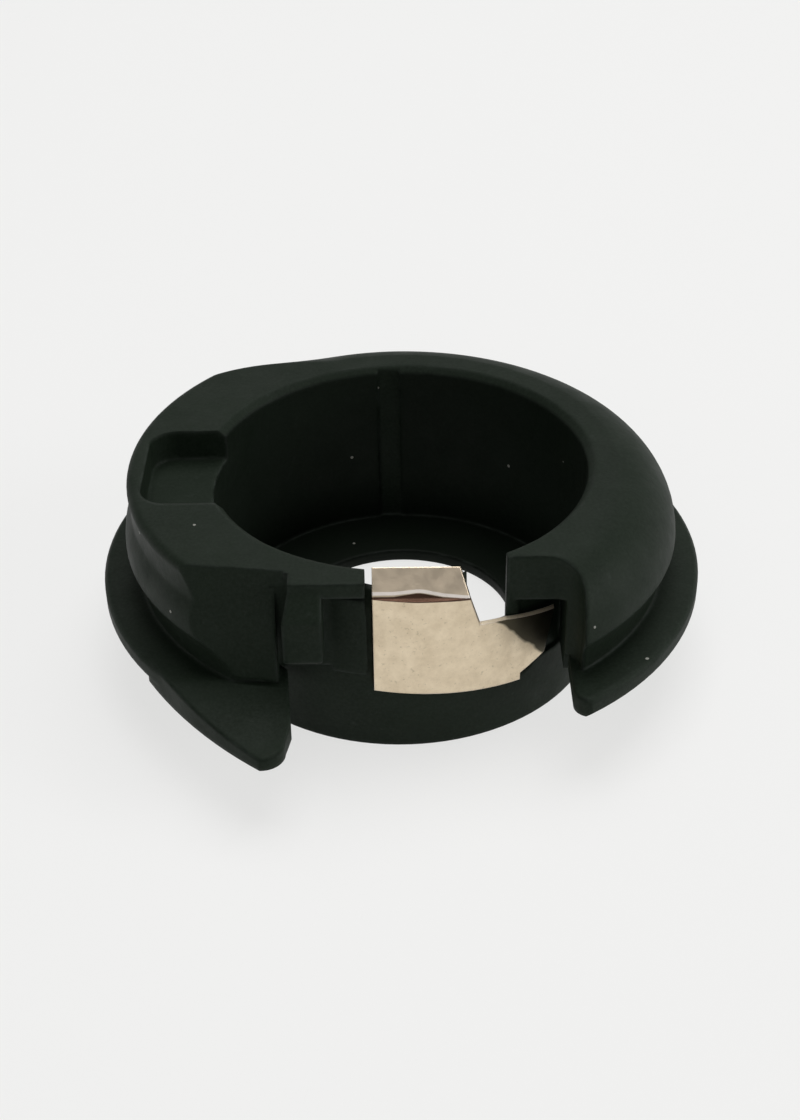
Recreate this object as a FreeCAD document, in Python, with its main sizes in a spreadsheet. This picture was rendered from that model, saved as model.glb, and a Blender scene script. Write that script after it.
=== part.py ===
import FreeCAD, Part
import math
import os

import Sketcher

# A drop-in bobbin case for a sewing machine.
#
# The case is a black moulding: a cup for the bobbin with a thick rim round it, a thin
# bearing flange that rides in the hook's race, and a stop horn at the front.  A leaf spring
# of sheet steel is hooked into the front of the cup and presses the thread against it.
#
# Millimetres.  +Z is up and -Y is the front, where the spring is.  The origin lies on the
# bore's axis, at the level of the foot that the cup stands on.

VECTOR = FreeCAD.Vector

# ---------------------------------------------------------------------------------------
# Driving dimensions: the name, the value in millimetres or degrees, and what it is.
# ---------------------------------------------------------------------------------------

DIMENSIONS = [
    # cup
    ("bore_radius", 10.8, "radius of the space for the bobbin"),
    ("wall", 0.9, "thickness of the cup's wall"),
    ("height", 11.7, "height of the whole case"),
    ("floor_thickness", 0.7, "thickness of the ring that the bobbin rests on"),
    ("hole_radius", 6.65, "radius of the hole in the floor"),
    ("mouth_chamfer", 0.4, "chamfer round the mouth of the bore"),
    ("foot_chamfer", 0.12, "chamfer round the foot of the cup"),
    ("foot_taper", 0.1, "how far the cup tapers in towards its foot"),
    ("taper_top", 3.3, "height at which the cup's taper ends"),
    # rim
    ("rim_radius", 16.0, "radius of the rim at its widest"),
    ("rim_level_drop", 4, "how far the rim's widest level is below its top"),
    ("neck_depth", 0.7, "how far the rim draws in above the flange"),
    ("neck_level_drop", 5.7, "how far the top of the neck is below the rim's top"),
    ("waist_depth", 0.45, "how far the flat-topped side draws in below its edge"),
    ("crown_inset", 0.36, "how far the rim's top edge stands in from its widest"),
    ("neck_curve", 3.0, "radius of the neck's hollow"),
    ("rim_curve", 4.0, "radius of the rim's bulge"),
    ("waist_curve", 6.0, "radius of the waist's hollow"),
    ("shoulder_round", 0.45, "rounding of the flat top's outer edge"),
    ("dome_radius", 4.15, "radius of the domed section of the rim"),
    ("dome_start", -62, "bearing at which the domed stretch starts"),
    ("dome_end", 107, "bearing at which the domed stretch ends"),
    ("blend_end", 153, "bearing at which the top is flat"),
    ("blend_shift", 1.15, "how far the dome's section moves out over the blend"),
    # flange
    ("flange_radius", 17.5, "radius of the bearing flange"),
    ("flange_bottom", 4.2, "height of the flange's underside"),
    ("flange_thick", 1.14, "thickness of the flange"),
    ("flange_edge", 0.2, "chamfer on the flange's edges"),
    # window at the front
    ("window_left", -6.7, "left side of the window in the rim"),
    ("window_right", 9.65, "right side of the window in the rim"),
    ("window_round", 1.5, "rounding of the window's corner at the back right"),
    ("flange_right", 9.1, "right end of the flange"),
    ("window_back_out", -1.6, "how far the back of the rim's window stands outside the cup"),
    # lip over the left part of the window
    ("lip_left", -5.95, "left end of the lip"),
    ("lip_right", -1.95, "right end of the lip"),
    ("lip_front_out", 0.7, "how far the lip's front edge stands outside the cup"),
    ("lip_thick", 0.9, "thickness of the lip"),
    ("slot_back_out", -0.4, "how far the back of the slot stands outside the cup"),
    # sloping face of the left shoulder
    ("face_front_out", -0.7, "how far the top of the shoulder's front face stands outside the cup"),
    ("face_turn", 8, "how far that edge is turned about the vertical"),
    ("face_lean", 15.5, "how far the sloping face leans from the vertical"),
    ("web_bottom", 5.6, "underside of the web between the shoulder and the cup"),
    ("web_right", -3.05, "right end of that web"),
    # lug under the lip
    ("lug_left", -6.3, "left side of the lug"),
    ("lug_right", -4.2, "right side of the lug"),
    ("lug_front_out", 1.65, "how far the lug stands outside the cup"),
    ("lug_root_drop", 0.4, "how far the top of the lug's root is below the rim's top"),
    ("lug_top_drop", 1.85, "how far the lug's upper front corner is below the rim's top"),
    ("lug_bottom_drop", 4.6, "how far the lug's underside is below the rim's top"),
    ("lug_neck", -5.95, "left side of the lug where it leaves the lip"),
    ("lug_round", 0.4, "rounding of the lug's lower corners"),
    # pad beside the spring
    ("pad_left", -3.85, "left side of the pad"),
    ("pad_right", -1.9, "right side of the pad"),
    ("pad_rise", 0.2, "how far the pad stands off the cup"),
    ("pad_bottom", 5.2, "height of the pad's lower edge"),
    ("pad_top_drop", 1.6, "how far the pad's top is below the rim's top"),
    # notch that lets the thread out of the cup
    ("notch_left", 3.45, "left side of the thread notch"),
    ("notch_right", 5.6, "right side of the thread notch"),
    ("notch_bottom_drop", 4.5, "depth of the thread notch"),
    # hollow that the spring's finger reaches into
    ("hollow_left", 6.3, "left side of the hollow"),
    ("hollow_right", 8.85, "right side of the hollow"),
    ("hollow_relief", 0.25, "how far the hollow goes behind the cup's outside"),
    ("hollow_top_drop", 2.8, "how far the hollow's top is below the rim's top"),
    # pocket in the top of the rim, at the left
    ("pocket_back", 3.4, "back of the pocket in the rim"),
    ("pocket_front", -4.4, "front of the pocket in the rim"),
    ("pocket_outer", 14.6, "how far out the pocket reaches"),
    ("pocket_corner", 1.5, "rounding of the pocket's outer corners"),
    ("pocket_depth", 1.9, "depth of the pocket"),
    # groove down the back of the bore
    ("groove_left", -1.3, "left side of the groove in the bore"),
    ("groove_right", 0.05, "right side of the groove in the bore"),
    ("groove_depth", 0.15, "depth of the groove in the bore"),
    ("nick_width", 0.9, "width of the nick under the finger's lower edge"),
    # stop horn
    ("horn_bottom", 3.7, "height of the horn's underside"),
    ("horn_tip_x", -6.9, "where the horn's tip is, across"),
    ("horn_reach", 1.5, "how far the horn's tip reaches past the flange"),
    ("horn_knee", -9.9, "where the horn's outer side bends towards the tip, across"),
    ("horn_knee_reach", 0.95, "how far the horn reaches past the flange at that bend"),
    ("horn_round", 1.25, "rounding of the horn's tip"),
    ("horn_inner", -5.95, "right side of the horn, across"),
    ("horn_root", -6.25, "right side of the horn's root, across"),
    ("horn_back", -10.1, "how far back the horn's root starts"),
    ("horn_curve", 27.0, "radius of the horn's outer side"),
    ("horn_fall", 0.9, "how far the horn's top falls towards the tip"),
    # right end of the flange
    ("flange_corner", 0.9, "rounding of the flange's right end"),
    # tension spring
    ("sheet", 0.3, "thickness of the spring's sheet"),
    ("seat_gap", 0.05, "space between the spring and the cup"),
    ("spring_left", -1.57, "left edge of the spring"),
    ("spring_bottom", 4.3, "height of the spring's lower left corner"),
    ("spring_heel", 3.5, "height of the spring's lower right corner"),
    ("heel_right", 6.46, "right end of the spring's lower edge"),
    ("heel_top", 3.95, "height at which the finger's lower edge starts"),
    ("fold_left_drop", 1.3, "how far the fold's left end is below the rim's top"),
    ("fold_right_drop", 1.65, "how far the fold's right end is below the rim's top"),
    ("fold_end", 3.6, "right end of the fold"),
    ("finger_root", 4.15, "where the finger starts"),
    ("finger_bend", 5.56, "where the finger's upper edge starts to fall"),
    ("finger_top_drop", 3.55, "how far the finger's upper edge is below the rim's top"),
    ("tip_right", 8.35, "end of the finger"),
    ("tip_top_drop", 4.45, "how far the finger's upper corner is below the rim's top"),
    ("tip_low", 7.85, "where the finger's lower corner is, across"),
    ("tip_bottom", 4.65, "height of the finger's lower corner"),
    ("tab_rise", 1.28, "how far the folded tab rises"),
    ("tab_run", 1.1, "how far the folded tab reaches back over the wall"),
    ("tab_end", 3.1, "right end of the tab's far edge"),
    ("tab_reach", 0.18, "how far the tab may reach in over the bore"),
    ("hook_backing", 0.25, "wall left behind the spring's hooked edge"),
    ("hook_play", 0.06, "space round the hooked edge"),
]


class Size:
    """A length or angle that knows its value and its formula over the spreadsheet."""

    def __init__(self, value, formula):
        self.value = float(value)
        self.formula = formula

    def __str__(self):
        return self.formula

    def __neg__(self):
        return Size(-self.value, "-(" + self.formula + ")")

    def __add__(self, other):
        other = as_size(other)
        return Size(self.value + other.value, "(" + self.formula + " + " + other.formula + ")")

    def __sub__(self, other):
        other = as_size(other)
        return Size(self.value - other.value, "(" + self.formula + " - " + other.formula + ")")

    def __mul__(self, other):
        other = as_size(other)
        return Size(self.value * other.value, "(" + self.formula + ") * (" + other.formula + ")")

    def __truediv__(self, other):
        other = as_size(other)
        return Size(self.value / other.value, "(" + self.formula + ") / (" + other.formula + ")")


def as_size(number):
    """A plain number as a Size, so that both can be used in one sum."""
    if isinstance(number, Size):
        return number
    return Size(number, "(" + format(float(number), ".6f") + ")")


def on_circle(radius, across):
    """The distance in front of the axis at which a circle has the given sideways distance."""
    square = radius * radius - across * across
    return Size(math.sqrt(square.value), "sqrt(" + square.formula + ")")


def sine(angle):
    """The sine of an angle in degrees."""
    return Size(math.sin(math.radians(angle.value)), "sin((" + angle.formula + ") * 1deg)")


def cosine(angle):
    """The cosine of an angle in degrees."""
    return Size(math.cos(math.radians(angle.value)), "cos((" + angle.formula + ") * 1deg)")


def write_sheet(document):
    """The spreadsheet of driving dimensions, and a Size for each of them."""
    sheet = document.addObject("Spreadsheet::Sheet", "dims")
    sizes = {}
    for row, (name, value, meaning) in enumerate(DIMENSIONS, start=1):
        sheet.set("A" + str(row), meaning)
        sheet.set("B" + str(row), str(value))
        sheet.setAlias("B" + str(row), name)
        sizes[name] = Size(value, "dims." + name)
    document.recompute()
    # places measured from the cup's outside and from the rim's top
    sizes["cup_radius"] = sizes["bore_radius"] + sizes["wall"]
    sizes["hook_depth"] = sizes["wall"] - sizes["hook_backing"]
    for name in list(sizes):
        if name.endswith("_out"):
            sizes[name[:-len("_out")]] = -(sizes["cup_radius"] + sizes[name])
        if name.endswith("_drop"):
            sizes[name[:-len("_drop")]] = sizes["height"] - sizes[name]
    return sizes


# ---------------------------------------------------------------------------------------
# Sketches and features
# ---------------------------------------------------------------------------------------


def new_sketch(body, name, plane, lift=None, turn=None):
    """A sketch on one of the body's own planes, lifted off it or turned about its upright."""
    support = [item for item in body.Origin.OriginFeatures if item.Role == plane][0]
    sketch = body.newObject("Sketcher::SketchObject", name)
    sketch.AttachmentSupport = [(support, "")]
    sketch.MapMode = "FlatFace"
    if turn is not None:
        upright = FreeCAD.Rotation(VECTOR(0, 1, 0), turn.value)
        sketch.AttachmentOffset = FreeCAD.Placement(VECTOR(0, 0, 0), upright)
        sketch.setExpression("AttachmentOffset.Rotation.Angle", turn.formula)
    if lift is not None:
        sketch.setExpression("AttachmentOffset.Base.z", lift.formula)
    return sketch


def arc_centre(start, end, radius):
    """The centre of an arc from start to end; a negative radius bulges to the other side."""
    middle = (start + end) / 2
    chord = end - start
    reach = math.sqrt(max(radius * radius - (chord.Length / 2) ** 2, 0))
    across = VECTOR(-chord.y, chord.x, 0)
    across.normalize()
    side = 1 if radius > 0 else -1
    return middle + across * (reach * side)


def draw(sketch, corners):
    """Draw a closed outline whose every corner and radius is bound to the spreadsheet.

    A corner is (x, y), or (x, y, radius) where an arc leads on to the next corner: positive
    turns left on the way, negative turns right.
    """
    points = [(as_size(corner[0]), as_size(corner[1])) for corner in corners]
    spots = [VECTOR(x.value, y.value, 0) for x, y in points]
    ends = []
    for index, corner in enumerate(corners):
        start = spots[index]
        end = spots[(index + 1) % len(spots)]
        if len(corner) == 2:
            sketch.addGeometry(Part.LineSegment(start, end), False)
            ends.append((1, 2))
            continue
        radius = as_size(corner[2])
        centre = arc_centre(start, end, radius.value)
        circle = Part.Circle(centre, VECTOR(0, 0, 1), abs(radius.value))
        left_turn = radius.value > 0
        first, last = (start, end) if left_turn else (end, start)
        bearings = [math.atan2(spot.y - centre.y, spot.x - centre.x) for spot in (first, last)]
        geometry = sketch.addGeometry(Part.ArcOfCircle(circle, bearings[0], bearings[1]), False)
        size = radius if left_turn else -radius
        bind(sketch, Sketcher.Constraint("Radius", geometry, size.value), size)
        ends.append((1, 2) if left_turn else (2, 1))
    for index, (x, y) in enumerate(points):
        after = (index + 1) % len(points)
        joined = Sketcher.Constraint("Coincident", index, ends[index][1], after, ends[after][0])
        sketch.addConstraint(joined)
        across = Sketcher.Constraint("DistanceX", -1, 1, index, ends[index][0], x.value)
        bind(sketch, across, x)
        along = Sketcher.Constraint("DistanceY", -1, 1, index, ends[index][0], y.value)
        bind(sketch, along, y)


def bind(sketch, constraint, size):
    """Add a measuring constraint and bind it to its formula."""
    number = sketch.addConstraint(constraint)
    sketch.setExpression("Constraints[" + str(number) + "]", size.formula)


def turned(body, kind, sketch, angle=None):
    """A Revolution or Groove about the sketch's own upright axis."""
    feature = body.newObject("PartDesign::" + kind, sketch.Name + "_turned")
    feature.Profile = sketch
    feature.ReferenceAxis = (sketch, ["V_Axis"])
    feature.Angle = 360
    if angle is not None:
        feature.setExpression("Angle", angle.formula)
    return feature


def pushed(body, kind, sketch, length, backwards=False):
    """A Pad or Pocket of one length; backwards sends it against its usual direction."""
    feature = body.newObject("PartDesign::" + kind, sketch.Name + "_pushed")
    feature.Profile = sketch
    feature.Reversed = backwards
    feature.setExpression("Length", as_size(length).formula)
    return feature


def lofted(body, kind, sketches):
    """A loft through sketches in order."""
    feature = body.newObject("PartDesign::" + kind, sketches[0].Name + "_lofted")
    feature.Profile = sketches[0]
    feature.Sections = sketches[1:]
    return feature


def change_volume(document, feature, grows):
    """Recompute, and stop if the feature didn't add or take away material as it should."""
    earlier = feature.BaseFeature.Shape.Volume if feature.BaseFeature else 0
    document.recompute()
    change = feature.Shape.Volume - earlier
    if (change > 0) != grows or abs(change) < 1e-6:
        raise RuntimeError(feature.Name + " changed the volume by " + format(change, ".4f"))
    print(feature.Name, "changed the volume by", format(change, ".3f"))


# ---------------------------------------------------------------------------------------
# Case body
# ---------------------------------------------------------------------------------------

CLEAR = 3.0  # how far a cutting outline runs past the material
BLEND_STEPS = 6  # sections between the domed and the flat-topped stretch
OVERLAP = 0.3  # how far an added piece runs into the material that it joins


def blank_outline(s):
    """Half section of the cup, rim and flange, before anything is cut away."""
    cup = s["cup_radius"]
    foot = cup - s["foot_taper"]
    neck = s["rim_radius"] - s["neck_depth"]
    waist = s["rim_radius"] - s["waist_depth"]
    shoulder = s["rim_radius"] - s["crown_inset"]
    flange_top = s["flange_bottom"] + s["flange_thick"]
    waist_level = (s["rim_level"] + s["height"]) / 2
    return [
        (s["hole_radius"], 0),
        (foot - s["foot_chamfer"], 0),
        (foot, s["foot_chamfer"]),
        (cup, s["taper_top"]),
        (cup, s["flange_bottom"]),
        (s["flange_radius"] - s["flange_edge"], s["flange_bottom"]),
        (s["flange_radius"], s["flange_bottom"] + s["flange_edge"]),
        (s["flange_radius"], flange_top - s["flange_edge"]),
        (s["flange_radius"] - s["flange_edge"], flange_top),
        (neck, flange_top),
        (neck, s["neck_level"], -s["neck_curve"]),
        (s["rim_radius"], s["rim_level"], s["rim_curve"]),
        (waist, waist_level, -s["waist_curve"]),
        (shoulder, s["height"] - s["shoulder_round"], s["shoulder_round"]),
        (shoulder - s["shoulder_round"], s["height"]),
        (s["bore_radius"] + s["mouth_chamfer"], s["height"]),
        (s["bore_radius"], s["height"] - s["mouth_chamfer"]),
        (s["bore_radius"], s["floor_thickness"]),
        (s["hole_radius"], s["floor_thickness"]),
    ]


def dome_outline(s, shift):
    """What is cut off the corner of the rim to make it domed, moved out by the shift."""
    inner = s["bore_radius"] + s["mouth_chamfer"] + shift
    outer = s["rim_radius"] + shift
    low = s["rim_level"] + shift
    high = s["height"] + shift
    return [
        (inner, high, -s["dome_radius"]),
        (outer, low),
        (outer + CLEAR, low),
        (outer + CLEAR, high + CLEAR),
        (inner, high + CLEAR),
    ]


def cut_dome(document, body, s):
    """Dome the right and back of the rim, and blend that into the flat-topped left."""
    sketch = new_sketch(body, "dome", "XZ_Plane", turn=s["dome_start"])
    draw(sketch, dome_outline(s, as_size(0)))
    dome = turned(body, "Groove", sketch, s["dome_end"] - s["dome_start"])
    change_volume(document, dome, False)
    sections = []
    for step in range(BLEND_STEPS + 1):
        share = step / BLEND_STEPS
        ease = (1 - math.cos(math.pi * share)) / 2
        bearing = s["dome_end"] + (s["blend_end"] - s["dome_end"]) * share
        section = new_sketch(body, "blend_" + str(step), "XZ_Plane", turn=bearing)
        draw(section, dome_outline(s, s["blend_shift"] * ease))
        sections.append(section)
    blend = lofted(body, "SubtractiveLoft", sections)
    change_volume(document, blend, False)


def cut_window(document, body, s):
    """Open the front of the rim, and leave the lip at the top of the left part."""
    cup = s["cup_radius"]
    far = -(s["flange_radius"] + CLEAR)
    lip_bottom = s["height"] - s["lip_thick"]
    corner = on_circle(cup, s["window_back"])
    turn = s["flange_corner"]
    flange_front = -on_circle(s["flange_radius"], s["flange_right"] + turn)
    round_end = s["window_back"] - s["window_round"]
    flange_top = s["flange_bottom"] + s["flange_thick"]
    under = new_sketch(body, "window", "XY_Plane", lift=flange_top)
    draw(under, [
        (s["window_left"], -on_circle(cup, s["window_left"]), cup),
        (corner, s["window_back"]),
        (s["flange_right"], s["window_back"]),
        (s["flange_right"], flange_front + turn, turn),
        (s["flange_right"] + turn, flange_front),
        (s["flange_right"] + turn, far),
        (s["window_left"], far),
    ])
    change_volume(document, pushed(body, "Pocket", under, flange_top + CLEAR), False)
    beside = new_sketch(body, "window_side", "XY_Plane", lift=flange_top)
    draw(beside, [
        (s["window_left"], -on_circle(cup, s["window_left"]), cup),
        (corner, s["window_back"]),
        (s["window_right"] - s["window_round"], s["window_back"], -s["window_round"]),
        (s["window_right"], round_end),
        (s["window_right"], far),
        (s["window_left"], far),
    ])
    tall = lip_bottom - flange_top
    change_volume(document, pushed(body, "Pocket", beside, tall, True), False)
    above = new_sketch(body, "window_top", "XY_Plane", lift=lip_bottom)
    draw(above, [
        (s["window_left"], s["slot_back"]),
        (s["lip_left"], s["slot_back"]),
        (s["lip_left"], s["lip_front"]),
        (s["lip_right"], s["lip_front"]),
        (s["lip_right"], -on_circle(cup, s["lip_right"]), cup),
        (corner, s["window_back"]),
        (s["window_right"] - s["window_round"], s["window_back"], -s["window_round"]),
        (s["window_right"], round_end),
        (s["window_right"], far),
        (s["window_left"], far),
    ])
    change_volume(document, pushed(body, "Pocket", above, CLEAR, True), False)


def cut_shoulder(document, body, s):
    """Slope the front face of the left shoulder, which leans and is turned a little."""
    flange_top = s["flange_bottom"] + s["flange_thick"]
    slope = sine(s["face_lean"]) / cosine(s["face_lean"])
    # the sketch lies in the slot over the whole width of the rim, and so spares the lip
    across = sine(s["face_turn"]) / cosine(s["face_turn"])
    reach = on_circle(s["rim_radius"], s["window_left"])
    start = s["window_left"] + reach * across + s["seat_gap"]
    top = s["face_front"] * cosine(s["face_turn"])
    top = top + (s["window_left"] - start) * sine(s["face_turn"])
    foot = top - (s["height"] - flange_top) * slope
    far = -(s["rim_radius"] + CLEAR)
    sketch = new_sketch(body, "shoulder", "YZ_Plane", lift=start, turn=-s["face_turn"])
    draw(sketch, [
        (top + slope * CLEAR, s["height"] + CLEAR),
        (foot, flange_top),
        (far, flange_top),
        (far, s["height"] + CLEAR),
    ])
    depth = s["rim_radius"] + CLEAR
    change_volume(document, pushed(body, "Pocket", sketch, depth), False)


def add_web(document, body, s):
    """The web that joins the shoulder to the cup behind the slot, under the lip."""
    lip_bottom = s["height"] - s["lip_thick"]
    inside = s["bore_radius"] + s["wall"] / 2
    root = s["window_left"] - OVERLAP
    sketch = new_sketch(body, "web", "XY_Plane", lift=s["web_bottom"])
    draw(sketch, [
        (root, s["slot_back"]),
        (s["web_right"], s["slot_back"]),
        (s["web_right"], -on_circle(inside, s["web_right"])),
        (root, -on_circle(inside + s["wall"] / 2, root)),
    ])
    change_volume(document, pushed(body, "Pad", sketch, lip_bottom - s["web_bottom"]), True)


def add_lug(document, body, s):
    """The lug that stands forward under the lip: sloping on top and narrower at its root."""
    root = s["slot_back"] + OVERLAP
    front = s["lug_front"]
    turn = s["lug_round"]
    low = s["lug_bottom"]
    block = new_sketch(body, "lug", "XZ_Plane", lift=-root)
    draw(block, [
        (s["lug_left"], s["lug_root"]),
        (s["lug_left"], low + turn, turn),
        (s["lug_left"] + turn, low),
        (s["lug_right"] - turn, low, turn),
        (s["lug_right"], low + turn),
        (s["lug_right"], s["lug_root"]),
    ])
    change_volume(document, pushed(body, "Pad", block, root - front + OVERLAP), True)
    side = new_sketch(body, "lug_side", "YZ_Plane", lift=s["lug_left"])
    draw(side, [
        (s["lip_front"], s["lug_root"]),
        (front, s["lug_top"]),
        (front, low + turn, turn),
        (front + turn, low),
        (front + turn, low - OVERLAP),
        (front - CLEAR, low - OVERLAP),
        (front - CLEAR, s["height"]),
        (s["lip_front"], s["height"]),
    ])
    width = s["lug_right"] - s["lug_left"]
    change_volume(document, pushed(body, "Pocket", side, width, True), False)
    taper = new_sketch(body, "lug_taper", "XY_Plane", lift=low - OVERLAP)
    draw(taper, [
        (s["lug_neck"], s["slot_back"]),
        (s["lug_left"] - OVERLAP, s["slot_back"]),
        (s["lug_left"] - OVERLAP, front),
        (s["lug_left"], front),
        (s["lug_neck"], s["lip_front"]),
    ])
    change_volume(document, pushed(body, "Pocket", taper, s["height"] - low, True), False)


def add_pad(document, body, s):
    """The pad beside the spring, which follows the cup and stands off it a little."""
    cup = s["cup_radius"]
    inner = s["bore_radius"] + s["wall"] / 2
    outer = cup + s["pad_rise"]
    sketch = new_sketch(body, "pad", "XY_Plane", lift=s["pad_bottom"])
    draw(sketch, [
        (s["pad_left"], -on_circle(outer, s["pad_left"]), outer),
        (s["pad_right"], -on_circle(outer, s["pad_right"])),
        (s["pad_right"], -on_circle(inner, s["pad_right"]), -inner),
        (s["pad_left"], -on_circle(inner, s["pad_left"])),
    ])
    tall = s["pad_top"] - s["pad_bottom"]
    change_volume(document, pushed(body, "Pad", sketch, tall), True)


def tab_length(s):
    """The length of the folded tab, along its slope."""
    run = s["tab_run"]
    rise = s["tab_rise"]
    square = run * run + rise * rise
    return Size(math.sqrt(square.value), "sqrt(" + square.formula + ")")


def cut_spring_seat(document, body, s):
    """Lower the wall where the spring folds over it, and cut the notch for the thread."""
    cup = s["cup_radius"]
    far = -(cup + CLEAR)
    lean = s["tab_rise"] / s["tab_run"]
    # the wall's top stays clear of the underside of the tab at its lower, right end
    set_back = cup - on_circle(cup + s["seat_gap"] + s["sheet"], s["fold_end"])
    upright = s["sheet"] * tab_length(s) / s["tab_run"]
    fold = s["fold_right"] - upright - set_back * lean - s["seat_gap"] * 2
    seat = new_sketch(body, "seat", "YZ_Plane", lift=s["notch_left"])
    inner = -(s["bore_radius"] - CLEAR)
    draw(seat, [
        (-cup, fold),
        (inner, fold + lean * (inner + cup)),
        (inner, s["height"] + CLEAR),
        (far, s["height"] + CLEAR),
        (far, fold),
    ])
    width = s["notch_left"] - s["lip_right"]
    change_volume(document, pushed(body, "Pocket", seat, width), False)
    notch = new_sketch(body, "notch", "XZ_Plane", lift=s["bore_radius"] / 2)
    draw(notch, [
        (s["notch_left"], s["notch_bottom"]),
        (s["notch_right"], s["notch_bottom"]),
        (s["notch_right"], s["height"] + CLEAR),
        (s["notch_left"], s["height"] + CLEAR),
    ])
    change_volume(document, pushed(body, "Pocket", notch, cup, True), False)


def cut_hollow(document, body, s):
    """Hollow out the rim's right end, where the spring's finger has room to move."""
    cup = s["cup_radius"]
    back = cup - s["hollow_relief"]
    front = s["window_back"] - CLEAR
    low = s["flange_bottom"] - s["seat_gap"]
    corner = on_circle(cup, s["window_back"]) - s["seat_gap"]
    sketch = new_sketch(body, "hollow", "XY_Plane", lift=low)
    draw(sketch, [
        (s["hollow_left"], -on_circle(back, s["hollow_left"]), back),
        (s["hollow_right"], -on_circle(back, s["hollow_right"])),
        (s["hollow_right"], front),
        (corner, front),
        (corner, -on_circle(cup, corner), cup),
        (s["hollow_left"], -on_circle(cup, s["hollow_left"])),
    ])
    tall = s["hollow_top"] - low
    change_volume(document, pushed(body, "Pocket", sketch, tall, True), False)


def cut_hook_slot(document, body, s):
    """The upright slot that the spring's hooked edge sits in."""
    cup = s["cup_radius"]
    deep = s["seat_gap"] + s["hook_depth"] + s["hook_play"]
    left = s["spring_left"] - s["hook_play"]
    right = s["spring_left"] + s["sheet"] + s["hook_play"]
    back = deep - cup - s["seat_gap"]
    low = s["spring_bottom"] - s["hook_play"]
    sketch = new_sketch(body, "hook_slot", "XY_Plane", lift=low)
    draw(sketch, [
        (left, back),
        (left, -(cup + CLEAR)),
        (right, -(cup + CLEAR)),
        (right, back),
    ])
    change_volume(document, pushed(body, "Pocket", sketch, s["height"] - low, True), False)


def cut_pocket(document, body, s):
    """The pocket in the top of the rim at the left, open to the bore."""
    inner = -(s["bore_radius"] - CLEAR)
    outer = -s["pocket_outer"]
    turn = s["pocket_corner"]
    floor = s["height"] - s["pocket_depth"]
    sketch = new_sketch(body, "rim_pocket", "XY_Plane", lift=floor)
    draw(sketch, [
        (inner, s["pocket_back"]),
        (outer + turn, s["pocket_back"], turn),
        (outer, s["pocket_back"] - turn),
        (outer, s["pocket_front"] + turn, turn),
        (outer + turn, s["pocket_front"]),
        (inner, s["pocket_front"]),
    ])
    depth = s["pocket_depth"] + CLEAR
    change_volume(document, pushed(body, "Pocket", sketch, depth, True), False)


def cut_groove(document, body, s):
    """The shallow groove down the back of the bore."""
    sketch = new_sketch(body, "groove", "XY_Plane", lift=s["floor_thickness"])
    inner = s["bore_radius"] - CLEAR
    outer = s["bore_radius"] + s["groove_depth"]
    draw(sketch, [
        (s["groove_left"], inner),
        (s["groove_right"], inner),
        (s["groove_right"], outer),
        (s["groove_left"], outer),
    ])
    change_volume(document, pushed(body, "Pocket", sketch, s["height"], True), False)


def add_horn(document, body, s):
    """The stop horn: a wedge that leaves the flange at the front left and falls to its tip."""
    flange = s["flange_radius"]
    turn = s["horn_round"]
    tip_y = -on_circle(flange + s["horn_reach"], s["horn_tip_x"])
    knee_y = -on_circle(flange + s["horn_knee_reach"], s["horn_knee"])
    back = s["horn_back"]
    edge = flange - s["flange_edge"]
    flange_top = s["flange_bottom"] + s["flange_thick"]
    sketch = new_sketch(body, "horn", "XY_Plane", lift=s["horn_bottom"])
    draw(sketch, [
        (s["horn_root"], back - turn),
        (s["horn_root"] - turn, back),
        (-on_circle(edge, back), back, s["horn_curve"]),
        (s["horn_knee"], knee_y, s["horn_curve"]),
        (s["horn_tip_x"] - turn / 2, tip_y, turn),
        (s["horn_inner"] - turn / 5, tip_y + turn, s["horn_curve"]),
        (s["horn_inner"], tip_y + turn * 2),
    ])
    tall = flange_top - s["horn_bottom"]
    change_volume(document, pushed(body, "Pad", sketch, tall), True)
    slope = new_sketch(body, "horn_slope", "YZ_Plane", lift=s["window_left"] + CLEAR)
    start = s["face_front"] - turn
    draw(slope, [
        (start, flange_top),
        (tip_y, flange_top - s["horn_fall"]),
        (tip_y - CLEAR, flange_top - s["horn_fall"]),
        (tip_y - CLEAR, flange_top + s["flange_edge"]),
        (start, flange_top + s["flange_edge"]),
    ])
    change_volume(document, pushed(body, "Pocket", slope, flange), False)


def cut_nick(document, body, s):
    """The small nick in the cup under the finger's lower edge."""
    across = s["heel_right"] + s["nick_width"]
    cup = s["cup_radius"]
    sketch = new_sketch(body, "nick", "XZ_Plane", lift=on_circle(cup, across) + s["seat_gap"])
    draw(sketch, [
        (s["heel_right"], s["spring_heel"]),
        (across, s["heel_top"]),
        (across, s["tip_bottom"]),
        (s["heel_right"], s["heel_top"] + s["sheet"]),
    ])
    change_volume(document, pushed(body, "Pocket", sketch, CLEAR, True), False)


def make_case_body(document, s):
    """The moulded case, from a turned blank."""
    body = document.addObject("PartDesign::Body", "case_body")
    body.Label = "case_body"
    blank = new_sketch(body, "blank", "XZ_Plane")
    draw(blank, blank_outline(s))
    change_volume(document, turned(body, "Revolution", blank), True)
    cut_dome(document, body, s)
    cut_shoulder(document, body, s)
    cut_window(document, body, s)
    add_web(document, body, s)
    add_lug(document, body, s)
    add_pad(document, body, s)
    cut_spring_seat(document, body, s)
    cut_hollow(document, body, s)
    cut_hook_slot(document, body, s)
    cut_pocket(document, body, s)
    cut_groove(document, body, s)
    cut_nick(document, body, s)
    add_horn(document, body, s)
    return body


# ---------------------------------------------------------------------------------------
# Tension spring
# ---------------------------------------------------------------------------------------


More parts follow.
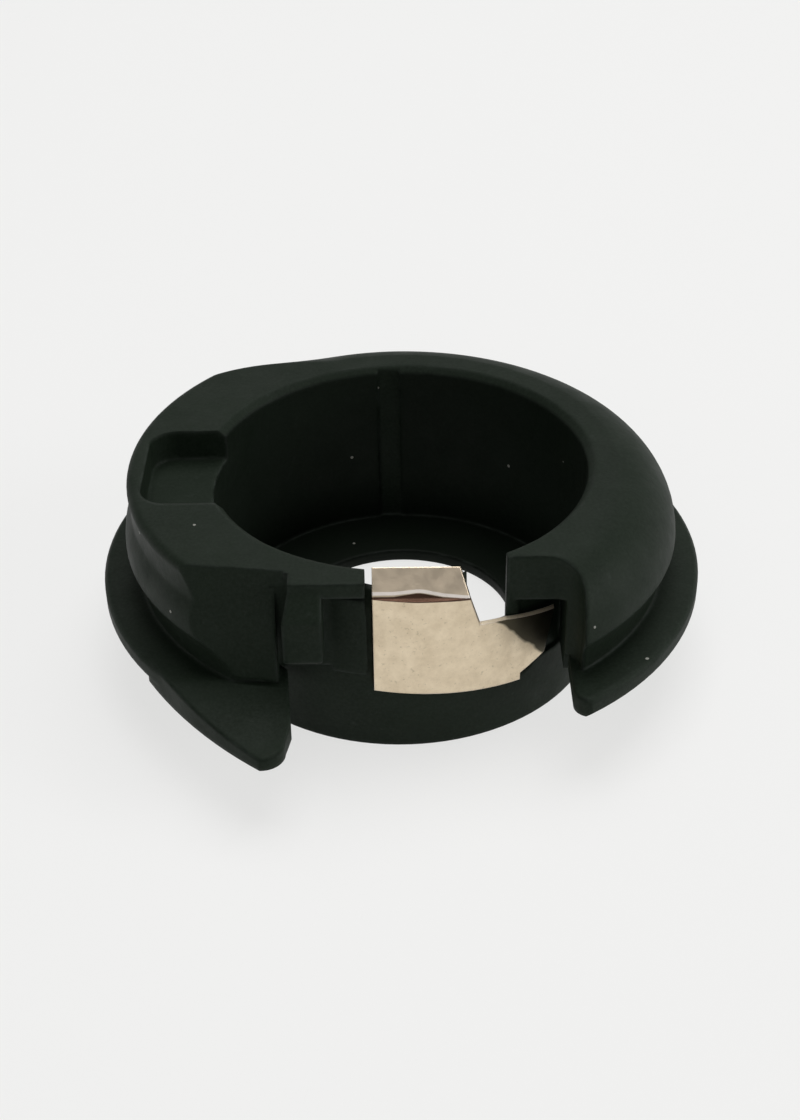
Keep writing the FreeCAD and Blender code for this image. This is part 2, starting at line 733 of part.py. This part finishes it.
def make_spring(document, s):
    """The leaf spring: a curved plate with a hooked edge, a folded tab and a finger."""
    body = document.addObject("PartDesign::Body", "tension_spring")
    body.Label = "tension_spring"
    inner = s["bore_radius"] + s["wall"] + s["seat_gap"]
    outer = inner + s["sheet"]
    # curved plate, taller than needed
    plate = new_sketch(body, "plate", "XY_Plane", lift=s["spring_heel"])
    draw(plate, [
        (s["spring_left"], -on_circle(outer, s["spring_left"]), outer),
        (s["tip_right"], -on_circle(outer, s["tip_right"])),
        (s["tip_right"], -on_circle(inner, s["tip_right"]), -inner),
        (s["spring_left"], -on_circle(inner, s["spring_left"])),
    ])
    tall = s["fold_left"] - s["spring_heel"]
    change_volume(document, pushed(body, "Pad", plate, tall), True)
    # waste round the outline of the plate and its finger
    ample = CLEAR
    above = new_sketch(body, "waste_above", "XZ_Plane")
    draw(above, [
        (s["spring_left"] - ample, s["fold_left"]),
        (s["spring_left"], s["fold_left"]),
        (s["fold_end"], s["fold_right"]),
        (s["finger_root"], s["finger_top"]),
        (s["finger_bend"], s["finger_top"] - s["sheet"] / 2),
        (s["tip_right"], s["tip_top"]),
        (s["tip_right"] + ample, s["tip_top"]),
        (s["tip_right"] + ample, s["height"] + ample),
        (s["spring_left"] - ample, s["height"] + ample),
    ])
    change_volume(document, pushed(body, "Pocket", above, outer + ample, True), False)
    below = new_sketch(body, "waste_below", "XZ_Plane")
    draw(below, [
        (s["spring_left"] - ample, s["spring_bottom"]),
        (s["spring_left"], s["spring_bottom"]),
        (s["heel_right"], s["spring_heel"]),
        (s["heel_right"], s["heel_top"]),
        (s["tip_low"], s["tip_bottom"]),
        (s["tip_right"], s["tip_top"]),
        (s["tip_right"] + ample, s["tip_top"]),
        (s["tip_right"] + ample, s["spring_heel"] - ample),
        (s["spring_left"] - ample, s["spring_heel"] - ample),
    ])
    change_volume(document, pushed(body, "Pocket", below, outer + ample, True), False)
    add_tab(document, body, s, outer)
    add_hook(document, body, s, inner)
    return body


def add_tab(document, body, s, outer):
    """The tab that is folded back over the wall, rising to the rear."""
    length = tab_length(s)
    under_y = s["sheet"] * s["tab_rise"] / length
    under_z = s["sheet"] * s["tab_run"] / length
    sections = []
    for name, across, fold in (
        ("tab_left", s["spring_left"], s["fold_left"]),
        ("tab_right", s["fold_end"], s["fold_right"]),
    ):
        front = -on_circle(outer, across)
        section = new_sketch(body, name, "YZ_Plane", lift=across)
        draw(section, [
            (front, fold),
            (front + under_y, fold - under_z),
            (front + under_y + s["tab_run"], fold - under_z + s["tab_rise"]),
            (front + s["tab_run"], fold + s["tab_rise"]),
        ])
        sections.append(section)
    change_volume(document, lofted(body, "AdditiveLoft", sections), True)
    trim = new_sketch(body, "tab_trim", "XZ_Plane")
    high = s["fold_right"] + s["tab_rise"] + CLEAR
    slant = (s["fold_end"] - s["tab_end"]) / s["tab_rise"]
    draw(trim, [
        (s["fold_end"], s["fold_right"]),
        (s["fold_end"] + CLEAR, s["fold_right"]),
        (s["fold_end"] + CLEAR, high),
        (s["fold_end"] - slant * (high - s["fold_right"]), high),
    ])
    change_volume(document, pushed(body, "Pocket", trim, outer + CLEAR, True), False)
    reach = s["bore_radius"] - s["tab_reach"]
    over_bore = new_sketch(body, "tab_edge", "XY_Plane", lift=s["fold_right"])
    draw(over_bore, [
        (s["spring_left"] - CLEAR, -on_circle(reach, s["spring_left"] - CLEAR), reach),
        (s["fold_end"] + CLEAR, -on_circle(reach, s["fold_end"] + CLEAR)),
    ])
    change_volume(document, pushed(body, "Pocket", over_bore, CLEAR, True), False)


def add_hook(document, body, s, inner):
    """The left edge, bent back at a right angle into the slot in the cup."""
    cup = s["cup_radius"]
    right = s["spring_left"] + s["sheet"]
    front = -(on_circle(inner, s["spring_left"]) + s["sheet"] / 2)
    sketch = new_sketch(body, "hook", "XY_Plane", lift=s["spring_bottom"])
    draw(sketch, [
        (s["spring_left"], front),
        (right, front),
        (right, s["hook_depth"] - cup),
        (s["spring_left"], s["hook_depth"] - cup),
    ])
    tall = s["fold_left"] - s["sheet"] - s["spring_bottom"]
    change_volume(document, pushed(body, "Pad", sketch, tall), True)


# ---------------------------------------------------------------------------------------
# Build, check and write
# ---------------------------------------------------------------------------------------


def check_document(document, parts):
    """Stop if anything in the document failed, or a part's shape isn't a sound solid."""
    for item in document.Objects:
        if "Invalid" in item.State or "Error" in item.State:
            raise RuntimeError(item.Name + " failed to recompute")
    for part in parts:
        shape = part.Shape
        if shape.isNull() or not shape.isValid():
            raise RuntimeError(part.Label + " has no sound shape")
        if len(shape.Solids) != 1:
            raise RuntimeError(part.Label + " has " + str(len(shape.Solids)) + " solids")


def main():
    document = FreeCAD.newDocument("bobbin_case")
    sizes = write_sheet(document)
    parts = [make_case_body(document, sizes), make_spring(document, sizes)]
    document.recompute()
    check_document(document, parts)
    os.makedirs("parts", exist_ok=True)
    for part in parts:
        part.Shape.exportStep("parts/" + part.Label + ".step")
        box = part.Shape.BoundBox
        print(part.Label, format(part.Shape.Volume, ".2f"), "mm3", box)


main()
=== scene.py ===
import math

import bpy
from mathutils import Matrix, Vector

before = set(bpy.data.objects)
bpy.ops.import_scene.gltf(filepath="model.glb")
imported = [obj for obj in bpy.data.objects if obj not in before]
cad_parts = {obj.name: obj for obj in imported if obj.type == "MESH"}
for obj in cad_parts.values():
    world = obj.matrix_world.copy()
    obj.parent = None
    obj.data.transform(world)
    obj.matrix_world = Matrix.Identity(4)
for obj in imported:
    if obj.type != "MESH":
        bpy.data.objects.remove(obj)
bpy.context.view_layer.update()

# A drop-in bobbin case: a satin black moulding with a bright leaf spring at its front.
# Metres throughout.  The case stands on the floor with its bore's axis on the Z axis.

MM = 0.001

# camera
CAMERA_PLACE = Vector((-0.07, -87.3, 65.2)) * MM
CAMERA_ELEVATION = math.radians(34.77)
CAMERA_ROLL = math.radians(-0.87)
CAMERA_LENS = 57.2

# where the spring's painted highlight and painted shade change, across and up
FOLD_START = (-1.57 * MM, 10.40 * MM)
FOLD_END = (3.60 * MM, 10.05 * MM)
TIP_LINE = (5.85 * MM, 7.11 * MM)
TIP_SLANT = (0.79, 0.616)

# the fold's painted highlight line and the painted shade line below it swell at a crest and fall
# away to the right
CREST_MIDDLE = 0.87 * MM
CREST_REACH = (1.3 * MM, 0.1 * MM)
FALL_REACH = (1.2 * MM, 3.4 * MM)
LINE_ABOVE_FOLD = 0.22 * MM
LINE_SWELL = 0.09 * MM
LINE_FALL = 0.17 * MM
SHADE_LINE_ABOVE_FOLD = 0.03 * MM
SHADE_LINE_SWELL = 0.05 * MM
SHADE_LINE_FALL = 0.08 * MM
SHADE_LINE_WIDENING = 0.085 * MM

# light and floor: each ring of the backdrop has a radius and a height
FLOOR_RADIUS = 0.8
BACKDROP_RINGS = (
    (0.93, 0.012), (1.05, 0.05), (1.15, 0.12), (1.22, 0.22), (1.26, 0.36), (1.28, 0.60),
)
WORLD_LIGHT = 0.15

# each lamp's name, place, size and power
LAMPS = (
    ("overhead", (0.05, 0.14, 0.45), 0.36, 1.5),
    ("front_fill", (-0.16, -0.36, 0.35), 0.30, 0.3),
    ("right_side", (0.42, -0.05, 0.16), 0.20, 0.7),
)
LAMP_TARGET = Vector((0, 0, 6)) * MM

# finishes, as linear colours
PLASTIC = (0.0100, 0.0165, 0.0098, 1.0)
PLASTIC_DEEP = (0.0072, 0.0122, 0.0071, 1.0)
PLASTIC_PALE = (0.0145, 0.0215, 0.0145, 1.0)
PLASTIC_WORN_AND_HIGHLIGHT = (0.036, 0.045, 0.038, 1.0)
PLASTIC_BORE_SHADE = (0.0020, 0.0042, 0.0020, 1.0)
DUST = (0.30, 0.30, 0.27, 1.0)
STEEL = (0.79, 0.67, 0.495, 1.0)
STEEL_DULL = (0.67, 0.56, 0.405, 1.0)
STEEL_HIGHLIGHT = (0.98, 0.90, 0.83, 1.0)
STEEL_TAB_SHADE = (0.78, 0.655, 0.50, 1.0)
STEEL_STAIN = (0.30, 0.25, 0.17, 1.0)
STEEL_CREASE_SHADE = (0.09, 0.05, 0.035, 1.0)
STEEL_TIP_SHADE = (0.085, 0.075, 0.05, 1.0)
PAPER = (0.86, 0.86, 0.86, 1.0)
PAPER_SHADE = tuple(0.985 * c for c in PAPER[:3]) + (1.0,)
PAPER_GLOW = (0.92, 0.92, 0.91, 1.0)
PAPER_GLOW_SHARE = 0.75


# --------------------------------------------------------------------------------------
# Node helpers
# --------------------------------------------------------------------------------------


def add_node(tree, kind, **settings):
    """Add a node and set its plain settings."""
    node = tree.nodes.new(kind)
    for name, value in settings.items():
        setattr(node, name, value)
    return node


def set_inputs(node, values):
    """Set a node's unlinked inputs by name."""
    for name, value in values.items():
        node.inputs[name].default_value = value


def new_group(name, inputs, outputs):
    """An empty shader node group with named sockets, and its two end nodes."""
    tree = bpy.data.node_groups.new(name, "ShaderNodeTree")
    for socket, kind, value in inputs:
        made = tree.interface.new_socket(socket, in_out="INPUT", socket_type=kind)
        made.default_value = value
    for socket, kind in outputs:
        tree.interface.new_socket(socket, in_out="OUTPUT", socket_type=kind)
    return tree, tree.nodes.new("NodeGroupInput"), tree.nodes.new("NodeGroupOutput")


def place_group(tree, group, values):
    """Put a group into a material with its own values."""
    node = tree.nodes.new("ShaderNodeGroup")
    node.node_tree = group
    set_inputs(node, values)
    return node


def noise(tree, place, scale, detail=3.0, roughness=0.5):
    """A noise texture over a place, so many cells to the metre."""
    node = tree.nodes.new("ShaderNodeTexNoise")
    set_inputs(node, {"Scale": scale, "Detail": detail, "Roughness": roughness})
    tree.links.new(place, node.inputs["Vector"])
    return node.outputs["Fac"]


def spread(tree, value, low, high):
    """Stretch a value so that low becomes 0 and high becomes 1."""
    node = tree.nodes.new("ShaderNodeMapRange")
    set_inputs(node, {"From Min": low, "From Max": high})
    tree.links.new(value, node.inputs["Value"])
    return node.outputs["Result"]


def calculate(tree, operation, first, second):
    """One sum on two values, each a socket or a number."""
    node = add_node(tree, "ShaderNodeMath", operation=operation)
    for number, value in enumerate((first, second)):
        if isinstance(value, (int, float)):
            node.inputs[number].default_value = value
        else:
            tree.links.new(value, node.inputs[number])
    return node.outputs[0]


def add(tree, first, second):
    """The sum of two values."""
    return calculate(tree, "ADD", first, second)


def subtract(tree, first, second):
    """One value less another."""
    return calculate(tree, "SUBTRACT", first, second)


def multiply(tree, first, second):
    """The product of two values."""
    return calculate(tree, "MULTIPLY", first, second)


def size_of(tree, value):
    """A value without its sign."""
    return calculate(tree, "ABSOLUTE", value, 0.0)


def mix_colours(tree, share, first, second):
    """A colour between two, each a socket or a plain colour."""
    node = add_node(tree, "ShaderNodeMix", data_type="RGBA")
    tree.links.new(share, node.inputs["Factor"])
    for name, colour in (("A", first), ("B", second)):
        socket = [item for item in node.inputs if item.name == name and item.type == "RGBA"][0]
        if isinstance(colour, tuple):
            socket.default_value = colour
        else:
            tree.links.new(colour, socket)
    return [item for item in node.outputs if item.type == "RGBA"][0]


def new_material(name):
    """A material with an empty Principled shader, its tree and that shader."""
    material = bpy.data.materials.new(name)
    material.use_nodes = True
    tree = material.node_tree
    shader = tree.nodes["Principled BSDF"]
    return material, tree, shader


def object_place(tree):
    """Object coordinates, in metres."""
    return tree.nodes.new("ShaderNodeTexCoord").outputs["Object"]


def split_vector(tree, vector):
    """The separate X, Y and Z of a place or a direction."""
    split = tree.nodes.new("ShaderNodeSeparateXYZ")
    tree.links.new(vector, split.inputs["Vector"])
    return split.outputs


def upward(tree):
    """How far a face looks up: the height of its normal."""
    geometry = tree.nodes.new("ShaderNodeNewGeometry")
    return split_vector(tree, geometry.outputs["Normal"])["Z"]


def set_roughness(tree, shader, share, low, high):
    """Vary the roughness between two values."""
    rough = tree.nodes.new("ShaderNodeMapRange")
    set_inputs(rough, {"To Min": low, "To Max": high})
    tree.links.new(share, rough.inputs["Value"])
    tree.links.new(rough.outputs["Result"], shader.inputs["Roughness"])


def set_bump(tree, shader, height, normal, strength, distance):
    """Raise fine relief on top of the softened edges."""
    bump = tree.nodes.new("ShaderNodeBump")
    set_inputs(bump, {"Strength": strength, "Distance": distance})
    tree.links.new(height, bump.inputs["Height"])
    tree.links.new(normal, bump.inputs["Normal"])
    tree.links.new(bump.outputs["Normal"], shader.inputs["Normal"])


# --------------------------------------------------------------------------------------
# Shared effects
# --------------------------------------------------------------------------------------


def make_edge_group():
    """Soft edges: a rounded normal, and a mask that is 1 along a sharp edge."""
    inputs = [
        ("Radius", "NodeSocketFloat", 0.0002),
        ("Strength", "NodeSocketFloat", 1.0),
        ("Patchiness", "NodeSocketFloat", 900.0),
    ]
    outputs = [("Normal", "NodeSocketVector"), ("Mask", "NodeSocketFloat")]
    tree, start, end = new_group("soft edges", inputs, outputs)
    bevel = add_node(tree, "ShaderNodeBevel", samples=8)
    tree.links.new(start.outputs["Radius"], bevel.inputs["Radius"])
    geometry = tree.nodes.new("ShaderNodeNewGeometry")
    match = add_node(tree, "ShaderNodeVectorMath", operation="DOT_PRODUCT")
    tree.links.new(bevel.outputs["Normal"], match.inputs[0])
    tree.links.new(geometry.outputs["Normal"], match.inputs[1])
    bend = subtract(tree, 1.0, match.outputs["Value"])
    sharp = spread(tree, bend, 0.02, 0.22)
    place = object_place(tree)
    patches = tree.nodes.new("ShaderNodeTexNoise")
    tree.links.new(place, patches.inputs["Vector"])
    tree.links.new(start.outputs["Patchiness"], patches.inputs["Scale"])
    patchy = spread(tree, patches.outputs["Fac"], 0.38, 0.62)
    mask = multiply(tree, sharp, patchy)
    mask = multiply(tree, mask, start.outputs["Strength"])
    tree.links.new(bevel.outputs["Normal"], end.inputs["Normal"])
    tree.links.new(mask, end.inputs["Mask"])
    return tree


def make_speck_group():
    """Scattered specks of dust: a mask with a few small dots."""
    inputs = [
        ("Spacing", "NodeSocketFloat", 900.0),
        ("Size", "NodeSocketFloat", 0.10),
        ("Amount", "NodeSocketFloat", 0.5),
    ]
    tree, start, end = new_group("specks", inputs, [("Mask", "NodeSocketFloat")])
    place = object_place(tree)
    cells = add_node(tree, "ShaderNodeTexVoronoi", feature="F1")
    tree.links.new(place, cells.inputs["Vector"])
    tree.links.new(start.outputs["Spacing"], cells.inputs["Scale"])
    dot = calculate(tree, "LESS_THAN", cells.outputs["Distance"], start.outputs["Size"])
    split = tree.nodes.new("ShaderNodeSeparateColor")
    tree.links.new(cells.outputs["Color"], split.inputs["Color"])
    chosen = calculate(tree, "LESS_THAN", split.outputs["Red"], start.outputs["Amount"])
    tree.links.new(multiply(tree, dot, chosen), end.inputs["Mask"])
    return tree


# --------------------------------------------------------------------------------------
# Materials
# --------------------------------------------------------------------------------------


def distance_from_axis(tree, place):
    """How far a spot is from the bore's axis."""
    flat = add_node(tree, "ShaderNodeVectorMath", operation="MULTIPLY")
    flat.inputs[1].default_value = (1.0, 1.0, 0.0)
    tree.links.new(place, flat.inputs[0])
    length = add_node(tree, "ShaderNodeVectorMath", operation="LENGTH")
    tree.links.new(flat.outputs["Vector"], length.inputs[0])
    return length.outputs["Value"]


def make_plastic(edges, specks):
    """Satin black moulded plastic: scuffed, with painted highlights and wear along its edges,
    painted shade in the bore and a little dust.
    """
    material, tree, shader = new_material("satin black plastic")
    place = object_place(tree)
    soft = place_group(tree, edges, {"Radius": 0.4 * MM, "Strength": 0.55, "Patchiness": 900.0})
    dust = place_group(tree, specks, {"Spacing": 620.0, "Size": 0.06, "Amount": 0.30})
    cloud = spread(tree, noise(tree, place, 260.0, 4.0, 0.6), 0.3, 0.7)
    uneven = mix_colours(tree, cloud, PLASTIC_DEEP, PLASTIC)
    grain = noise(tree, place, 5200.0, 3.0, 0.65)
    mottled = mix_colours(tree, spread(tree, grain, 0.35, 0.75), uneven, PLASTIC_PALE)
    scuffs = spread(tree, noise(tree, place, 950.0, 6.0, 0.75), 0.60, 0.78)
    scuffed = mix_colours(tree, multiply(tree, scuffs, 0.5), mottled, PLASTIC_WORN_AND_HIGHLIGHT)
    # painted shade: the bore's wall and floor are painted a deeper black, standing in for the
    # shade inside the cup
    bore_shade = spread(tree, distance_from_axis(tree, place), 10.9 * MM, 10.75 * MM)
    scuffed = mix_colours(tree, multiply(tree, bore_shade, 0.75), scuffed, PLASTIC_BORE_SHADE)
    # painted highlight and wear: sharp edges are painted paler, in patches
    edges_worn_and_highlit = mix_colours(tree, soft.outputs["Mask"], scuffed, PLASTIC_WORN_AND_HIGHLIGHT)
    dusty = mix_colours(tree, dust.outputs["Mask"], edges_worn_and_highlit, DUST)
    tree.links.new(dusty, shader.inputs["Base Color"])
    smears = spread(tree, noise(tree, place, 420.0, 5.0, 0.65), 0.25, 0.75)
    set_roughness(tree, shader, smears, 0.46, 0.64)
    waves = multiply(tree, noise(tree, place, 700.0, 3.0), 6.0)
    relief = add(tree, waves, grain)
    set_bump(tree, shader, relief, soft.outputs["Normal"], 0.4, 0.014 * MM)
    set_inputs(shader, {"IOR": 1.5, "Specular IOR Level": 0.10})
    return material


def fold_marks(tree, spot):
    """The spring's fold: masks for the tab's painted shade, for the painted highlight along the
    fold and for the painted shade line below it.
    """
    slope = (FOLD_END[1] - FOLD_START[1]) / (FOLD_END[0] - FOLD_START[0])
    along = subtract(tree, spot["X"], FOLD_START[0])
    fold = add(tree, multiply(tree, along, slope), FOLD_START[1])
    above = subtract(tree, spot["Z"], fold)
    crest = spread(tree, size_of(tree, subtract(tree, spot["X"], CREST_MIDDLE)), *CREST_REACH)
    fall = spread(tree, spot["X"], *FALL_REACH)
    line = subtract(tree, multiply(tree, crest, LINE_SWELL), multiply(tree, fall, LINE_FALL))
    over = subtract(tree, subtract(tree, above, line), LINE_ABOVE_FOLD)
    tab = spread(tree, over, 0.04 * MM, 0.09 * MM)
    bright = spread(tree, size_of(tree, over), 0.085 * MM, 0.055 * MM)
    middle = subtract(tree, multiply(tree, crest, SHADE_LINE_SWELL), multiply(tree, fall, SHADE_LINE_FALL))
    away = size_of(tree, subtract(tree, subtract(tree, above, middle), SHADE_LINE_ABOVE_FOLD))
    away = subtract(tree, away, multiply(tree, crest, SHADE_LINE_WIDENING))
    crease_shade = spread(tree, away, 0.075 * MM, 0.045 * MM)
    return tab, bright, crease_shade


def tip_shade_share(tree, place, spot):
    """1 on the finger's tip, past the slanting line where it dips behind the rim, for painted
    shade there.
    """
    across = multiply(tree, subtract(tree, spot["X"], TIP_LINE[0]), TIP_SLANT[0])
    up = multiply(tree, subtract(tree, spot["Z"], TIP_LINE[1]), TIP_SLANT[1])
    ragged = subtract(tree, noise(tree, place, 800.0, 2.0), 0.5)
    past = add(tree, add(tree, across, up), multiply(tree, ragged, 0.5 * MM))
    upright = spread(tree, upward(tree), 0.6, 0.3)
    return multiply(tree, spread(tree, past, -0.07 * MM, 0.07 * MM), upright)


def highlight_share(tree, spot, bright):
    """1 on the sheet's upper edge below the fold and on the fold's bright line."""
    low = spread(tree, spot["Z"], 9.2 * MM, 9.0 * MM)
    upper_edge = multiply(tree, spread(tree, upward(tree), 0.8, 0.9), low)
    return calculate(tree, "MAXIMUM", upper_edge, bright)


def make_steel(edges):
    """Warm sheet steel: mottled and stained, with a painted highlight and a painted shade line at
    its fold, painted highlights on its edges, and painted shade on the tab and the finger's tip.
    """
    material, tree, shader = new_material("warm sheet steel")
    place = object_place(tree)
    soft = place_group(tree, edges, {"Radius": 0.13 * MM, "Strength": 0.6, "Patchiness": 600.0})
    stains = spread(tree, noise(tree, place, 1100.0, 6.0, 0.72), 0.34, 0.68)
    colour = mix_colours(tree, stains, STEEL, STEEL_DULL)
    specks = spread(tree, noise(tree, place, 5200.0, 2.0, 0.6), 0.63, 0.72)
    specks = multiply(tree, specks, 0.35)
    colour = mix_colours(tree, specks, colour, STEEL_STAIN)
    spot = split_vector(tree, place)
    tab, bright, crease_shade = fold_marks(tree, spot)
    # painted shade: the tab above the fold gets its own tone, standing in for how it faces the
    # light
    colour = mix_colours(tree, tab, colour, STEEL_TAB_SHADE)
    below_fold = spread(tree, spot["Z"], 9.9 * MM, 9.7 * MM)
    # painted highlight: sharp edges below the fold are painted bright
    edge = multiply(tree, soft.outputs["Mask"], below_fold)
    colour = mix_colours(tree, edge, colour, STEEL_HIGHLIGHT)
    # painted highlight: the bright line along the fold
    colour = mix_colours(tree, bright, colour, STEEL_HIGHLIGHT)
    # painted shade: a dark line just below the fold
    colour = mix_colours(tree, crease_shade, colour, STEEL_CREASE_SHADE)
    # painted shade: the finger's tip is painted dark where it dips into the hollow behind the rim
    colour = mix_colours(tree, tip_shade_share(tree, place, spot), colour, STEEL_TIP_SHADE)
    tree.links.new(colour, shader.inputs["Base Color"])
    set_roughness(tree, shader, stains, 0.36, 0.5)
    dents = noise(tree, place, 500.0, 2.0)
    pits = multiply(tree, noise(tree, place, 3800.0, 3.0), 0.12)
    relief = add(tree, dents, pits)
    set_bump(tree, shader, relief, soft.outputs["Normal"], 0.35, 0.06 * MM)
    # painted highlight: the upper edge and the fold's bright line are made less metallic, so their
    # pale colour lights up from all round
    lit_edges = highlight_share(tree, spot, bright)
    metal = subtract(tree, 1.0, multiply(tree, lit_edges, 0.7))
    tree.links.new(metal, shader.inputs["Metallic"])
    return material


def seen_share(tree):
    """1 for what the camera sees, directly or in gloss or glass."""
    path = tree.nodes.new("ShaderNodeLightPath")
    seen = calculate(tree, "MAXIMUM", path.outputs["Is Camera Ray"], path.outputs["Is Glossy Ray"])
    return calculate(tree, "MAXIMUM", seen, path.outputs["Is Transmission Ray"])


def make_paper():
    """Plain pale paper, seen as near white where the case's shadow is faint."""
    material, tree, shader = new_material("pale paper")
    place = object_place(tree)
    fibre = spread(tree, noise(tree, place, 40.0, 2.0), 0.2, 0.8)
    shade = mix_colours(tree, fibre, PAPER, PAPER_SHADE)
    tree.links.new(shade, shader.inputs["Base Color"])
    set_inputs(shader, {"Roughness": 0.9, "Specular IOR Level": 0.1})
    # what the camera and the glossy surfaces see is partly lit from behind
    glow = tree.nodes.new("ShaderNodeEmission")
    set_inputs(glow, {"Color": PAPER_GLOW, "Strength": 1.0})
    share = multiply(tree, seen_share(tree), PAPER_GLOW_SHARE)
    blend = tree.nodes.new("ShaderNodeMixShader")
    tree.links.new(share, blend.inputs["Fac"])
    tree.links.new(shader.outputs["BSDF"], blend.inputs[1])
    tree.links.new(glow.outputs["Emission"], blend.inputs[2])
    tree.links.new(blend.outputs["Shader"], tree.nodes["Material Output"].inputs["Surface"])
    return material


def give_material(node, material):
    """Put one material in every slot of a carried-over node."""
    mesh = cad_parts[node].data
    if not mesh.materials:
        mesh.materials.append(material)
    for number in range(len(mesh.materials)):
        mesh.materials[number] = material


# --------------------------------------------------------------------------------------
# Floor, light and camera
# --------------------------------------------------------------------------------------


def make_floor():
    """A plain pale floor that curves up into a backdrop all round."""
    bpy.ops.object.select_all(action="DESELECT")
    bpy.ops.mesh.primitive_circle_add(vertices=96, radius=FLOOR_RADIUS, fill_type="NGON")
    floor = bpy.context.object
    floor.name = "floor"
    bpy.ops.object.mode_set(mode="EDIT")
    bpy.ops.mesh.select_mode(type="EDGE")
    bpy.ops.mesh.select_all(action="DESELECT")
    bpy.ops.mesh.select_non_manifold()
    last_radius, last_height = FLOOR_RADIUS, 0.0
    for radius, height in BACKDROP_RINGS:
        rise = {"value": (0, 0, height - last_height)}
        bpy.ops.mesh.extrude_edges_move(TRANSFORM_OT_translate=rise)
        grow = radius / last_radius
        bpy.ops.transform.resize(value=(grow, grow, 1), center_override=(0, 0, 0))
        last_radius, last_height = radius, height
    bpy.ops.object.mode_set(mode="OBJECT")
    bpy.ops.object.shade_smooth()
    floor.data.materials.append(make_paper())


def make_lamp(name, place, size, power):
    """A square soft lamp that looks at the case."""
    light = bpy.data.lights.new(name, "AREA")
    light.size = size
    light.energy = power
    lamp = bpy.data.objects.new(name, light)
    bpy.context.scene.collection.objects.link(lamp)
    lamp.location = place
    aim = LAMP_TARGET - Vector(place)
    lamp.rotation_euler = aim.to_track_quat("-Z", "Y").to_euler()


def make_light():
    """Soft studio light: a big lamp over the back, a fill at the front and a pale world."""
    for lamp in LAMPS:
        make_lamp(*lamp)
    world = bpy.data.worlds.new("studio")
    bpy.context.scene.world = world
    world.use_nodes = True
    background = world.node_tree.nodes["Background"]
    background.inputs["Color"].default_value = (1.0, 1.0, 1.0, 1.0)
    background.inputs["Strength"].default_value = WORLD_LIGHT


def make_camera():
    """The camera: low in front, looking down into the cup."""
    data = bpy.data.cameras.new("camera")
    data.lens = CAMERA_LENS
    data.clip_start = 0.01
    camera = bpy.data.objects.new("camera", data)
    bpy.context.scene.collection.objects.link(camera)
    tilt = Matrix.Rotation(math.pi / 2 - CAMERA_ELEVATION, 4, "X")
    roll = Matrix.Rotation(CAMERA_ROLL, 4, "Z")
    camera.matrix_world = Matrix.Translation(CAMERA_PLACE) @ tilt @ roll
    bpy.context.scene.camera = camera


# --------------------------------------------------------------------------------------
# Build
# --------------------------------------------------------------------------------------

bpy.context.scene.view_settings.view_transform = "Standard"
edge_group = make_edge_group()
speck_group = make_speck_group()
give_material("case_body", make_plastic(edge_group, speck_group))
give_material("tension_spring", make_steel(edge_group))
make_floor()
make_light()
make_camera()
